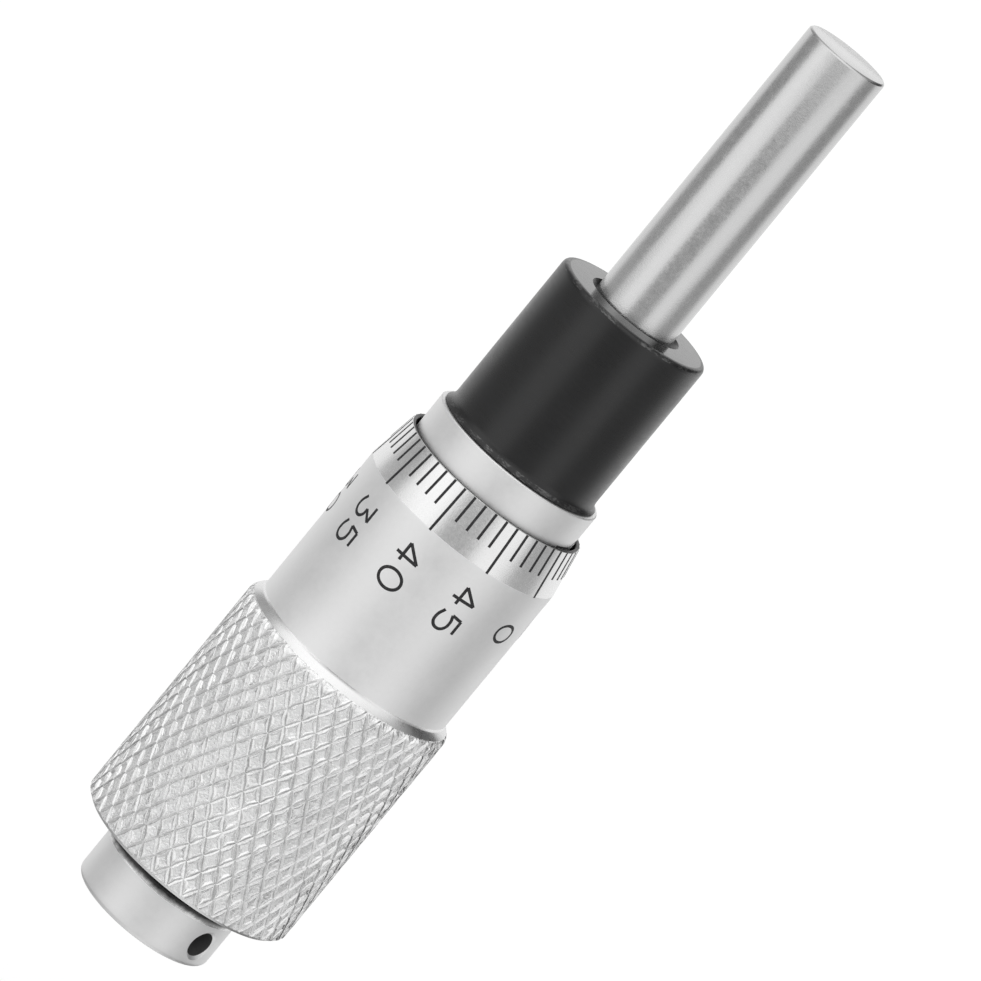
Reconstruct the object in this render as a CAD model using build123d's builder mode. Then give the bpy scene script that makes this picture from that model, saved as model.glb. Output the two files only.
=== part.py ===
from build123d import *
import math
import os

# A plain-stem micrometer head, in millimetres. The origin is on the axis in the shoulder plane,
# where the front face of the sleeve seats against the holder. +Z runs along the axis towards
# the measuring face. The thimble is drawn screwed fully forward, at the zero reading.

# Spindle
spindle_diameter = 5.0
spindle_reach = 17.9  # measuring face to the front face of the stem
face_chamfer = 0.12
runout_depth = 0.2  # below the spindle
runout_length = 0.7
thread_step = 0.5  # from the spindle up to the thread
tail_step = 0.25  # from the thread down to the cone that carries the thimble
tail_taper = 6.0  # angle between the cone and the axis, in degrees
travel = 13.0

# Stem, one turned piece from the clamping diameter to the split thread seat
stem_diameter = 9.5
stem_length = 9.9
stem_chamfer = 0.35
bore_chamfer = 0.3
barrel_step = 0.25  # from the stem down to the inner barrel, which carries the sleeve
guide_length = 9.25
relief_clearance = 0.25
seat_wall = 0.7  # from the thread out to the seat of the adjusting nut
lead_taper_length = 0.8
lead_taper_depth = 0.25
lead_gap = 0.2  # between the nut and the start of its lead
slot_width = 0.4
slot_count = 3

# Sleeve and adjusting nut
sleeve_wall = 0.75
sleeve_overlap = 1.6  # sleeve left inside the thimble when the thimble is fully back
sleeve_chamfer = 0.06
sleeve_mouth_chamfer = 0.3
collar_length = 2.0  # sleeve in view between the shoulder and the thimble
nut_wall = 0.8
nut_length = 3.2
nut_gap = 0.5
nut_chamfer = 0.2
notch_width = 1.2
notch_depth = 0.4
notch_count = 4

# Thimble
edge_wall = 0.24
bevel_length = 2.8
bevel_rise = 0.49
plain_length = 9.4
flare_length = 0.6
flare_rise = 0.55
rim_chamfer = 0.27
web_wall = 1.8

# Diamond knurl
knurl_length = 14.0
knurl_count = 42  # diamonds in one ring
knurl_half_rows = 17
knurl_depth = 0.15
knurl_land = 0.02  # turned rim left standing above the crests at both ends
knurl_flat_share = 0.66

# Thimble cap, a headed screw
cap_diameter = 8.6
cap_height = 3.95
cap_chamfer = 0.55
cap_foot_chamfer = 0.25
shank_diameter = 3.0
shank_reach = 3.5  # length screwed into the spindle
spanner_hole_diameter = 1.6
spanner_hole_depth = 2.4
spanner_hole_height = 1.5  # above the foot of the cap
spanner_hole_angle = -34.0  # round the axis, from +X
spanner_hole_chamfer = 0.1

# Clearances
guide_clearance = 0.02
thread_clearance = 0.02
sleeve_clearance = 0.02
nut_clearance = 0.02
cone_clearance = 0.02
thimble_clearance = 0.17
shank_clearance = 0.02
web_hole_clearance = 0.2
stop_gap = 0.3  # between the thread and the guide at full reach
end_gap = 0.9  # between the split end and the web of the thimble at full reach
shoulder_gap = 0.3
tail_gap = 0.2
overrun = 0.6

# Heights along the axis, worked out from the sizes above
tip_z = stem_length + spindle_reach
guide_end_z = stem_length - guide_length
thread_front_z = guide_end_z - stop_gap
seat_front_z = thread_front_z - travel
sleeve_end_z = -(collar_length + travel + sleeve_overlap)
nut_front_z = sleeve_end_z - nut_gap
nut_end_z = nut_front_z - nut_length
barrel_end_z = nut_end_z - lead_gap - lead_taper_length
web_front_z = barrel_end_z - end_gap
thread_end_z = web_front_z + shoulder_gap

thimble_front_z = -collar_length
bevel_end_z = thimble_front_z - bevel_length
flare_start_z = bevel_end_z - plain_length
knurl_top_z = flare_start_z - flare_length
knurl_bottom_z = knurl_top_z - knurl_length
thimble_end_z = knurl_bottom_z - rim_chamfer
seat_end_z = thimble_end_z + web_wall
tail_end_z = seat_end_z + tail_gap
cap_end_z = thimble_end_z - cap_height

# Radii, from the axis outwards
spindle_radius = spindle_diameter / 2
guide_bore_radius = spindle_radius + guide_clearance
thread_radius = spindle_radius + thread_step
thread_bore_radius = thread_radius + thread_clearance
relief_radius = thread_radius + relief_clearance
nut_seat_radius = thread_radius + seat_wall
nut_bore_radius = nut_seat_radius + nut_clearance
nut_radius = nut_seat_radius + nut_wall
stem_radius = stem_diameter / 2
barrel_radius = stem_radius - barrel_step
sleeve_bore_radius = barrel_radius + sleeve_clearance
sleeve_radius = barrel_radius + sleeve_wall
thimble_bore_radius = sleeve_radius + thimble_clearance
thimble_edge_radius = thimble_bore_radius + edge_wall
body_radius = thimble_edge_radius + bevel_rise
grip_radius = body_radius + flare_rise
tail_radius = thread_radius - tail_step
tail_slope = math.tan(math.radians(tail_taper))
tail_end_radius = tail_radius - (web_front_z - tail_end_z) * tail_slope
cone_mouth_radius = tail_radius + cone_clearance
cone_end_radius = cone_mouth_radius - (web_front_z - seat_end_z) * tail_slope
shank_radius = shank_diameter / 2
cap_radius = cap_diameter / 2


def half_section(*points):
    """Draw a closed half section from (radius, height) points and turn it about the axis."""
    with BuildSketch(Plane.XZ) as section:
        with BuildLine():
            Polyline(*points, close=True)
        make_face()
    revolve(section.sketch, axis=Axis.Z)


def cut_bore(radius, top, bottom):
    """Cut a plain bore on the axis between two heights."""
    with BuildSketch(Plane.XY.offset(bottom)) as bore:
        Circle(radius)
    extrude(bore.sketch, amount=top - bottom, mode=Mode.SUBTRACT)


def knurl_point(radius, angle, across, height):
    """Place a point of a diamond: out along its middle plane, then across that plane."""
    x = radius * math.cos(angle) - across * math.sin(angle)
    y = radius * math.sin(angle) + across * math.cos(angle)
    return Vector(x, y, height)


def knurl_faces(angle, height, low_half, high_half):
    """Make one diamond, or the half of one that a rim cuts: a flat crest and its groove walls."""
    low, high = height - row_height, height + row_height
    left = knurl_point(root_radius * math.cos(half_pitch), angle, -root_half_width, height)
    right = knurl_point(root_radius * math.cos(half_pitch), angle, root_half_width, height)
    top = knurl_point(root_radius, angle, 0, high)
    bottom = knurl_point(root_radius, angle, 0, low)
    flat_left = knurl_point(crest_distance, angle, -crest_half_width, height)
    flat_right = knurl_point(crest_distance, angle, crest_half_width, height)
    flat_top = knurl_point(crest_distance, angle, 0, height + crest_half_height)
    flat_bottom = knurl_point(crest_distance, angle, 0, height - crest_half_height)
    faces = []
    crest = [flat_left, flat_right]
    if low_half:
        crest.insert(1, flat_bottom)
        faces.append([right, flat_right, flat_bottom, bottom])
        faces.append([left, bottom, flat_bottom, flat_left])
    if high_half:
        crest.append(flat_top)
        faces.append([left, flat_left, flat_top, top])
        faces.append([right, top, flat_top, flat_right])
    faces.append(crest)
    rim = [left, flat_left, flat_right]
    return [Face(Wire.make_polygon(corners)) for corners in faces], rim


def knurl_solid():
    """Close the rings of diamonds with a star-shaped face at each end."""
    faces = []
    rims = {0: [], knurl_half_rows: []}
    for row in range(knurl_half_rows + 1):
        for step in range(knurl_count):
            angle = (2 * step + row % 2) * half_pitch
            height = knurl_bottom_z + row * row_height
            diamond, rim = knurl_faces(angle, height, row > 0, row < knurl_half_rows)
            faces.extend(diamond)
            if row in rims:
                rims[row].extend(rim)
    faces.append(Face(Wire.make_polygon(rims[0][::-1])))
    faces.append(Face(Wire.make_polygon(rims[knurl_half_rows])))
    return Solid(Shell(faces))


# The knurl is a lattice of flat diamonds between grooves that cross. Each groove wall is one
# plane: the crest's height follows from its width so that its four corners lie in it.
row_height = knurl_length / knurl_half_rows
half_pitch = math.pi / knurl_count
crest_radius = grip_radius - knurl_land
root_radius = crest_radius - knurl_depth
root_half_width = root_radius * math.sin(half_pitch)
root_sagitta = root_radius * (1 - math.cos(half_pitch))
crest_half_width = knurl_flat_share * root_half_width
crest_distance = math.sqrt(crest_radius**2 - crest_half_width**2)
wall_rise = crest_distance - root_radius
crest_half_height = (
    row_height
    * crest_half_width
    * (wall_rise + root_sagitta)
    / (root_half_width * wall_rise + crest_half_width * root_sagitta)
)

os.makedirs("parts", exist_ok=True)

with BuildPart() as stem:
    half_section(
        (0, stem_length),
        (stem_radius, stem_length),
        (stem_radius, 0),
        (barrel_radius, 0),
        (barrel_radius, nut_front_z),
        (nut_seat_radius, nut_front_z),
        (nut_seat_radius, barrel_end_z + lead_taper_length),
        (nut_seat_radius - lead_taper_depth, barrel_end_z),
        (0, barrel_end_z),
    )
    front_rim = stem.edges().filter_by(GeomType.CIRCLE).group_by(Axis.Z)[-1]
    chamfer(front_rim, length=stem_chamfer)
    cut_bore(guide_bore_radius, stem_length, guide_end_z)
    cut_bore(relief_radius, guide_end_z, seat_front_z)
    cut_bore(thread_bore_radius, seat_front_z, barrel_end_z)
    front_circles = stem.edges().filter_by(GeomType.CIRCLE).group_by(Axis.Z)[-1]
    chamfer(front_circles.sort_by(SortBy.RADIUS)[0], length=bore_chamfer)
    with BuildSketch(Plane.XY.offset(barrel_end_z)):
        with PolarLocations(relief_radius, slot_count):
            Rectangle(relief_radius, slot_width)
    extrude(amount=nut_front_z - barrel_end_z, mode=Mode.SUBTRACT)
stem.part.label = "stem"
export_step(stem.part, "parts/stem.step")

with BuildPart() as sleeve:
    half_section(
        (sleeve_bore_radius + sleeve_mouth_chamfer, 0),
        (sleeve_radius - sleeve_chamfer, 0),
        (sleeve_radius, -sleeve_chamfer),
        (sleeve_radius, sleeve_end_z + sleeve_chamfer),
        (sleeve_radius - sleeve_chamfer, sleeve_end_z),
        (sleeve_bore_radius, sleeve_end_z),
        (sleeve_bore_radius, -sleeve_mouth_chamfer),
    )
sleeve.part.label = "sleeve"
export_step(sleeve.part, "parts/sleeve.step")

with BuildPart() as adjusting_nut:
    half_section(
        (nut_bore_radius, nut_front_z),
        (nut_radius, nut_front_z),
        (nut_radius, nut_end_z),
        (nut_bore_radius, nut_end_z),
    )
    outer_rims = adjusting_nut.edges().filter_by(GeomType.CIRCLE).group_by(SortBy.RADIUS)[-1]
    chamfer(outer_rims, length=nut_chamfer)
    with BuildSketch(Plane.XY.offset(nut_end_z)):
        with PolarLocations(nut_radius, notch_count):
            Rectangle(2 * notch_depth, notch_width)
    extrude(amount=nut_length / 2, mode=Mode.SUBTRACT)
adjusting_nut.part.label = "adjusting_nut"
export_step(adjusting_nut.part, "parts/adjusting_nut.step")

with BuildPart() as spindle:
    half_section(
        (0, tip_z),
        (spindle_radius - face_chamfer, tip_z),
        (spindle_radius, tip_z - face_chamfer),
        (spindle_radius, thread_front_z + runout_length),
        (spindle_radius - runout_depth, thread_front_z + runout_length),
        (spindle_radius - runout_depth, thread_front_z),
        (thread_radius, thread_front_z),
        (thread_radius, thread_end_z),
        (tail_radius, thread_end_z),
        (tail_radius, web_front_z),
        (tail_end_radius, tail_end_z),
        (0, tail_end_z),
    )
    cut_bore(shank_radius + shank_clearance, tail_end_z + shank_reach + overrun, tail_end_z)
spindle.part.label = "spindle"
export_step(spindle.part, "parts/spindle.step")

with BuildPart() as thimble:
    core_radius = root_radius - 2 * knurl_depth
    with BuildSketch(Plane.XZ) as turned:
        with BuildLine():
            Polyline(
                (0, thimble_front_z),
                (thimble_edge_radius, thimble_front_z),
                (body_radius, bevel_end_z),
                (body_radius, flare_start_z),
                (grip_radius, knurl_top_z),
                (core_radius, knurl_top_z),
                (core_radius, knurl_bottom_z),
                (grip_radius, knurl_bottom_z),
                (grip_radius - rim_chamfer, thimble_end_z),
                (0, thimble_end_z),
                close=True,
            )
        make_face()
    revolve(axis=Axis.Z)
    add(knurl_solid())
    cut_bore(thimble_bore_radius, thimble_front_z, web_front_z)
    with BuildSketch(Plane.XY.offset(web_front_z)):
        Circle(cone_mouth_radius)
    with BuildSketch(Plane.XY.offset(seat_end_z)):
        Circle(cone_end_radius)
    loft(mode=Mode.SUBTRACT)
    cut_bore(shank_radius + web_hole_clearance, seat_end_z, thimble_end_z)
thimble.part.label = "thimble"
export_step(thimble.part, "parts/thimble.step")

with BuildPart() as thimble_cap:
    half_section(
        (0, tail_end_z + shank_reach),
        (shank_radius, tail_end_z + shank_reach),
        (shank_radius, thimble_end_z),
        (cap_radius - cap_chamfer, thimble_end_z),
        (cap_radius, thimble_end_z - cap_chamfer),
        (cap_radius, cap_end_z + cap_foot_chamfer),
        (cap_radius - cap_foot_chamfer, cap_end_z),
        (0, cap_end_z),
    )
    hole_turn = math.radians(spanner_hole_angle)
    hole_axis = Vector(math.cos(hole_turn), math.sin(hole_turn), 0)
    hole_foot = Vector(0, 0, cap_end_z + spanner_hole_height)
    hole_mouth = hole_foot + hole_axis * cap_radius
    with BuildSketch(Plane(origin=hole_mouth, z_dir=hole_axis)):
        Circle(spanner_hole_diameter / 2)
    extrude(amount=-spanner_hole_depth, mode=Mode.SUBTRACT)
    hole_edges = thimble_cap.edges().sort_by_distance(hole_mouth)
    chamfer(hole_edges[0], length=spanner_hole_chamfer)
thimble_cap.part.label = "thimble_cap"
export_step(thimble_cap.part, "parts/thimble_cap.step")

if __name__ == "__main__":
    for piece in (stem, sleeve, adjusting_nut, spindle, thimble, thimble_cap):
        box = piece.part.bounding_box()
        print(piece.part.label, round(piece.part.volume, 2), box.min, box.max)
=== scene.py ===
"""Visual model of a plain-stem micrometer head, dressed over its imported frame."""

from __future__ import annotations

import logging
import math
import random
from dataclasses import dataclass, field
from enum import Enum
from typing import Callable, Sequence

import bmesh
import bpy
from bmesh.types import BMEdge, BMesh, BMFace, BMVert
from bpy.types import Material, Node, NodeSocket, NodeTree, Object
from mathutils import Matrix, Vector, noise

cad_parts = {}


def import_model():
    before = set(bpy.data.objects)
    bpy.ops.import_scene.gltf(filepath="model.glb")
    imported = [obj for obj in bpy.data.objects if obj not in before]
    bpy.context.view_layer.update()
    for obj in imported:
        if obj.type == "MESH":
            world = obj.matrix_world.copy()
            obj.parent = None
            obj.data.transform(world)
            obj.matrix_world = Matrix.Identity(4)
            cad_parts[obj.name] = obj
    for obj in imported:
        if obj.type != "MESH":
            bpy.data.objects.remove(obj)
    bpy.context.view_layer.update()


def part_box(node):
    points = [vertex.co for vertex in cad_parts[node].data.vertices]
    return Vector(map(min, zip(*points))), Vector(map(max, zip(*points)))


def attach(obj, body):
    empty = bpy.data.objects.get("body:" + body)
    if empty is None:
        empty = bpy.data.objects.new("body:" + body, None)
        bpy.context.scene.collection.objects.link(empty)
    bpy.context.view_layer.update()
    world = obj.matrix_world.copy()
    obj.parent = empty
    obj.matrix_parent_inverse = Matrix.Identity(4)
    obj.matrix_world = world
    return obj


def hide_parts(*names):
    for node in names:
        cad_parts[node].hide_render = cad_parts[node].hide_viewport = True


LOG = logging.getLogger("micrometer_head")

FULL_TURN = 2 * math.pi
QUARTER_TURN = math.pi / 2

# Lengths are in millimetres until a mesh is finished, and this turns them to metres.
MM = 0.001
# Points nearer to each other than this are one.
WELD = 1e-5
# Less than any real step of a profile.
HAIR = 0.001
# How far a cutter reaches past its stock.
OVERRUN = 1.0

RingPoint = tuple[float, float]
Colour = tuple[float, float, float, float]
Inputs = dict[str | int, object]


# Named options


class Body(Enum):
    """The bodies that the pieces ride on."""

    STEM = "stem"
    SPINDLE = "spindle"
    THIMBLE = "thimble"


class Slot(Enum):
    """The record's material slots."""

    BLACK_OXIDE = "black_oxide"
    SATIN_CHROME = "satin_chrome"
    GROUND_STEEL = "ground_steel"
    NUT_STEEL = "nut_steel"
    POLISHED_STEEL = "polished_steel"


class Corner(Enum):
    """How a stroke of a numeral passes one of its points."""

    SHARP = "VECTOR"
    ROUND = "AUTO"


# Finishes


def linear_colour(code: str) -> Colour:
    """Turn an sRGB hex colour into a linear one.

    Args:
        code: six hex digits, with or without a leading hash.

    Returns:
        Red, green, blue and an alpha of one.
    """
    digits = code.lstrip("#")
    channels = []
    for start in (0, 2, 4):
        value = int(digits[start : start + 2], 16) / 255
        channels.append(value / 12.92 if value <= 0.04045 else ((value + 0.055) / 1.055) ** 2.4)
    return channels[0], channels[1], channels[2], 1.0


def add_node(tree: NodeTree, kind: str, inputs: Inputs | None = None, **settings: object) -> Node:
    """Add a node with its settings, values and links.

    Args:
        tree: the tree that takes the node.
        kind: the node's type, without the ShaderNode that starts its name.
        inputs: a value or an output socket for each input, by name or number.
        **settings: the node's own properties.

    Returns:
        The new node.
    """
    node = tree.nodes.new("ShaderNode" + kind)
    for name, value in settings.items():
        setattr(node, name, value)
    for name, value in (inputs or {}).items():
        if isinstance(value, NodeSocket):
            tree.links.new(value, node.inputs[name])
        else:
            node.inputs[name].default_value = value
    return node


@dataclass(frozen=True)
class Grain:
    """A noise of one real grain size, even or stretched round the axis."""

    size_mm: float
    stretch: float = 1.0
    octaves: float = 2.0
    harshness: float = 0.5

    def lay(self, tree: NodeTree) -> NodeSocket:
        """Add the noise on the piece's own coordinates.

        Args:
            tree: the material's tree.

        Returns:
            The noise's value.
        """
        place = add_node(tree, "TexCoord").outputs["Object"]
        along = 1 / (self.size_mm * MM)
        around = along / self.stretch
        scaled = add_node(tree, "Mapping", {"Vector": place, "Scale": (around, around, along)})
        pattern = {"Vector": scaled.outputs["Vector"], "Scale": 1.0}
        pattern |= {"Detail": self.octaves, "Roughness": self.harshness}
        return add_node(tree, "TexNoise", pattern).outputs["Fac"]


class Finish:
    """What all the finishes share: a material that is built from one shader."""

    name: str

    def build(self) -> Material:
        """Make the material.

        Returns:
            The node material.
        """
        material = bpy.data.materials.new(self.name)
        material.use_nodes = True
        tree = material.node_tree
        tree.nodes.clear()
        add_node(tree, "OutputMaterial", {"Surface": self.shader(tree).outputs[0]})
        return material

    def shader(self, tree: NodeTree) -> Node:
        """Give the finish's shader, which each kind of finish makes in its own way."""
        raise NotImplementedError

    @staticmethod
    def tinted(
        tree: NodeTree, share: NodeSocket, dark: Colour, light: Colour, inputs: Inputs
    ) -> Node:
        """Mix two colours into a surface.

        Args:
            tree: the material's tree.
            share: how much of the second colour shows.
            dark: the first colour.
            light: the second colour.
            inputs: the shader's other values.

        Returns:
            The shader.
        """
        tint = add_node(tree, "Mix", {"Factor": share, 6: dark, 7: light}, data_type="RGBA")
        return add_node(tree, "BsdfPrincipled", {"Base Color": tint.outputs[2], **inputs})


@dataclass(frozen=True)
class MetalFinish(Finish):
    """A metal surface with the marks that its making leaves.

    The marks are one noise stretched along the rings of the turning or left even for a
    matted plating, and a slow one for the handling that dulls it here and there. The two
    together run from about the first to the second of the blend's ends.
    """

    name: str
    colour: str
    roughness: float
    roughness_spread: float
    mark_mm: float
    mark_stretch: float
    mark_depth_mm: float
    tint_spread: float = 0.04
    mottle_mm: float = 2.5
    metallic: float = 1.0
    blend_ends: tuple[float, float] = (0.6, 1.4)
    mark_octaves: float = 3.0
    harshness: float = 0.6

    def shader(self, tree: NodeTree) -> Node:
        """Make the metal's shader.

        Args:
            tree: the material's tree.

        Returns:
            The shader.
        """
        grain = Grain(self.mark_mm, self.mark_stretch, self.mark_octaves, self.harshness)
        marks = grain.lay(tree)
        mottle = Grain(self.mottle_mm, harshness=self.harshness).lay(tree)
        blend = add_node(tree, "Math", {0: marks, 1: mottle}, operation="ADD").outputs[0]
        span = {"Value": blend, "From Min": self.blend_ends[0], "From Max": self.blend_ends[1]}
        share = add_node(tree, "MapRange", span).outputs["Result"]
        span["To Min"] = self.roughness - self.roughness_spread
        span["To Max"] = self.roughness + self.roughness_spread
        rough = add_node(tree, "MapRange", span).outputs["Result"]
        base = linear_colour(self.colour)
        dark = tuple(c * (1 - self.tint_spread) for c in base[:3]) + (1.0,)
        light = tuple(min(1.0, c * (1 + self.tint_spread)) for c in base[:3]) + (1.0,)
        relief = {"Strength": 1.0, "Distance": self.mark_depth_mm * MM, "Height": marks}
        bump = add_node(tree, "Bump", relief).outputs["Normal"]
        inputs = {"Metallic": self.metallic, "Roughness": rough, "Normal": bump}
        return self.tinted(tree, share, dark, light, inputs)


@dataclass(frozen=True)
class InkFinish(Finish):
    """Black paint wiped into the engraving: matt, with thin and worn places."""

    name: str = "engraving_black"
    colour: str = "1d1d1f"
    worn_colour: str = "4b4b4d"
    grain: Grain = Grain(0.12)
    worn_ends: tuple[float, float] = (0.55, 0.8)
    roughness: float = 0.55

    def shader(self, tree: NodeTree) -> Node:
        """Make the paint's shader.

        Args:
            tree: the material's tree.

        Returns:
            The shader.
        """
        span = {"Value": self.grain.lay(tree)}
        span |= {"From Min": self.worn_ends[0], "From Max": self.worn_ends[1]}
        worn = add_node(tree, "MapRange", span).outputs["Result"]
        colours = linear_colour(self.colour), linear_colour(self.worn_colour)
        return self.tinted(tree, worn, *colours, {"Roughness": self.roughness})


@dataclass(frozen=True)
class WornOxideFinish(Finish):
    """Black oxide rubbed through to the steel in flecks, as edges and roots get it."""

    name: str = "worn_black_oxide"
    oxide: str = "171718"
    steel: str = "6e6e6e"
    flecks: Grain = Grain(0.07, 2.5, 3.0)
    patches: Grain = Grain(0.7, octaves=1.0)
    bare_ends: tuple[float, float] = (0.24, 0.38)
    most_bare: float = 0.8
    roughness: float = 0.32

    def shader(self, tree: NodeTree) -> Node:
        """Make the shader of oxide and bare steel.

        Args:
            tree: the material's tree.

        Returns:
            The shader.
        """
        layers = {0: self.flecks.lay(tree), 1: self.patches.lay(tree)}
        both = add_node(tree, "Math", layers, operation="MULTIPLY").outputs[0]
        span = {"Value": both, "From Min": self.bare_ends[0], "From Max": self.bare_ends[1]}
        bare = add_node(tree, "MapRange", {**span, "To Max": self.most_bare}).outputs["Result"]
        colours = linear_colour(self.oxide), linear_colour(self.steel)
        inputs = {"Metallic": bare, "Roughness": self.roughness}
        return self.tinted(tree, bare, *colours, inputs)


@dataclass(frozen=True)
class GrimedChrome(Finish):
    """Chrome with a painted shade under the thimble's rim: darkest at the joint and thinning out
    away from it, with a ragged edge.
    """

    name: str = "joint_painted_shade"
    clean: str = "e6e6e6"
    grime: str = "0e0e0e"
    joint_mm: float = -29.92
    clean_mm: float = -30.22
    grain: Grain = Grain(0.35)
    raggedness: float = 0.35
    roughness: float = 0.27

    def shader(self, tree: NodeTree) -> Node:
        """Make the shader of chrome and its painted shade.

        Args:
            tree: the material's tree.

        Returns:
            The shader.
        """
        place = add_node(tree, "TexCoord").outputs["Object"]
        height = add_node(tree, "SeparateXYZ", {"Vector": place}).outputs["Z"]
        fall = {"Value": height, "From Min": self.clean_mm * MM, "From Max": self.joint_mm * MM}
        near = add_node(tree, "MapRange", fall, clamp=False).outputs["Result"]
        spread = {"To Min": -self.raggedness, "To Max": self.raggedness}
        ragged = add_node(tree, "MapRange", {"Value": self.grain.lay(tree), **spread})
        both = {0: near, 1: ragged.outputs["Result"]}
        shade_share = add_node(tree, "Math", both, operation="ADD", use_clamp=True).outputs[0]
        metal = add_node(tree, "MapRange", {"Value": shade_share, "To Min": 1.0, "To Max": 0.0})
        colours = linear_colour(self.clean), linear_colour(self.grime)
        inputs = {"Metallic": metal.outputs["Result"], "Roughness": self.roughness}
        return self.tinted(tree, shade_share, *colours, inputs)


@dataclass(frozen=True)
class WhiteTable(Finish):
    """A grey table that looks white to the camera and to what mirrors it."""

    name: str = "white_table"
    colour: str = "8c8c8c"
    glow: float = 0.8

    def shader(self, tree: NodeTree) -> Node:
        """Make the table's shader.

        Args:
            tree: the material's tree.

        Returns:
            The shader.
        """
        paint = add_node(tree, "BsdfDiffuse", {"Color": linear_colour(self.colour)}).outputs[0]
        path = add_node(tree, "LightPath").outputs
        seen = path["Is Camera Ray"]
        for other in ("Is Glossy Ray", "Is Transmission Ray"):
            seen = add_node(tree, "Math", {0: seen, 1: path[other]}, operation="MAXIMUM").outputs[0]
        white = add_node(tree, "Math", {0: seen, 1: self.glow}, operation="MULTIPLY").outputs[0]
        shine = add_node(tree, "Emission", {"Color": (1, 1, 1, 1), "Strength": white}).outputs[0]
        return add_node(tree, "AddShader", {0: paint, 1: shine})


# A metal's numbers are, in order: roughness and its spread; the marks' size, stretch round
# the axis and depth; then, where they aren't the usual ones, the spread of the tint and the
# size of the mottle. Sizes and depths are in millimetres.

# Fine-ground steel: the wheel leaves a fine grain, so reflections stay clear but speckled.
# Real grinding lines are finer than the picture shows, so the grain is as coarse as shows.
GROUND_STEEL = MetalFinish("ground_steel", "cacaca", 0.25, 0.07, 0.09, 1.5, 0.004, 0.07, 0.3)
# Matt plating over a blasted surface: soft, even and pale.
SATIN_CHROME = MetalFinish("satin_chrome", "f0f0f0", 0.52, 0.06, 0.3, 1.0, 0.003, 0.03, 1.6)
# The bevel is turned after the matting, so it shows its surroundings more clearly.
TURNED_CHROME = MetalFinish("turned_chrome", "e6e6e6", 0.24, 0.06, 0.07, 1.0, 0.004, 0.06, 0.2)
# Fingers and the rolls rub the plating smoother on edges and the flare.
RUBBED_CHROME = MetalFinish("rubbed_chrome", "e6e6e6", 0.28, 0.05, 0.25, 1.0, 0.003, 0.04, 0.8)
# The crests between the rolled grooves keep a torn and uneven skin.
ROLLED_CHROME = MetalFinish("rolled_chrome", "f6f6f6", 0.3, 0.08, 0.15, 1.0, 0.08, 0.08, 0.5)
# The wheels press the walls of the dishes smooth.
BURNISHED_CHROME = MetalFinish("burnished_chrome", "f4f4f4", 0.25, 0.08, 0.2, 1.0, 0.04, 0.06)
# The grooves between the diamonds are a little darker, a painted shade in the creases.
SHADED_GROOVE = MetalFinish("painted_shade_groove", "e8e8e8", 0.24, 0.06, 0.2, 1.0, 0.02, 0.2, 0.6)
# Black oxide is a thin dark skin that reflects like lacquer, most at grazing angles.
BLACK_OXIDE = MetalFinish("black_oxide", "141415", 0.3, 0.07, 0.2, 4.0, 0.001, 0.3, 3.0, 0.0)
# On the turned front face the oxide is rubbed thin, and the dark steel mirrors at a glance.
RUBBED_OXIDE = MetalFinish("rubbed_oxide", "444444", 0.17, 0.06, 0.15, 2.0, 0.001, 0.2, 0.9)
WORN_OXIDE = WornOxideFinish()
# Plain turned steel for what lies inside.
TURNED_STEEL = MetalFinish("turned_steel", "9a9a9b", 0.35, 0.06, 0.12, 20.0, 0.002)
# Dark steel, a painted shade: it darkens the thimble's rear face round the cap, which looks away
# from the light, and the inside of its front bore.
SHADED_DARK_STEEL = MetalFinish("painted_shade_steel", "262627", 0.4, 0.08, 0.15, 8.0, 0.002, 0.1)
# Painted shade on the cap's top, where the thimble's rim overhangs it.
JOINT_PAINTED_SHADE = GrimedChrome()
# The blind hole is lined with a dull dark grey, a painted shade for its inside, so it shows as no
# bare metal.
SHADED_BORE = MetalFinish("painted_shade_bore", "626262", 0.7, 0.05, 0.1, 4.0, 0.002, 0.08, metallic=0.0)
ENGRAVING_BLACK = InkFinish()


# Mesh tools


def turn_profile(points: Sequence[RingPoint], steps: int, closed: bool = True) -> BMesh:
    """Spin a profile about the axis.

    Args:
        points: (radius, height) pairs in millimetres, in order round the section.
        steps: faces in a full turn.
        closed: whether the last point joins the first.

    Returns:
        The turned mesh, in millimetres.
    """
    bm = bmesh.new()
    chain = [bm.verts.new((radius, 0.0, height)) for radius, height in points]
    pairs = zip(chain, chain[1:] + chain[:1] if closed else chain[1:])
    edges = [bm.edges.new((a, b)) for a, b in pairs if a.co.x > 0 or b.co.x > 0]
    bmesh.ops.spin(
        bm,
        geom=chain + edges,
        cent=(0, 0, 0),
        axis=(0, 0, 1),
        dvec=(0, 0, 0),
        angle=FULL_TURN,
        steps=steps,
        use_merge=True,
    )
    bmesh.ops.remove_doubles(bm, verts=bm.verts, dist=WELD)
    bmesh.ops.recalc_face_normals(bm, faces=bm.faces)
    return bm


def rounded_corner(
    radius: float, height: float, size: float, rings: int, power: float = 1.0
) -> list[RingPoint]:
    """Round the corner between a face that looks up and the side.

    Args:
        radius: the side's radius.
        height: the face's height.
        size: how far the rounding reaches from the corner.
        rings: the faces across it.
        power: over one, the rounding is flatter in its middle, like a worn chamfer.

    Returns:
        The points, from the face to the side.
    """
    points = []
    for index in range(rings + 1):
        turn = QUARTER_TURN * index / rings
        inwards = size * (1 - math.sin(turn)) ** power
        down = size * (1 - math.cos(turn)) ** power
        points.append((radius - inwards, height - down))
    return points


def ring_height(edge: BMEdge) -> float:
    """Give the mean height of an edge."""
    return (edge.verts[0].co.z + edge.verts[1].co.z) / 2


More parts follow.
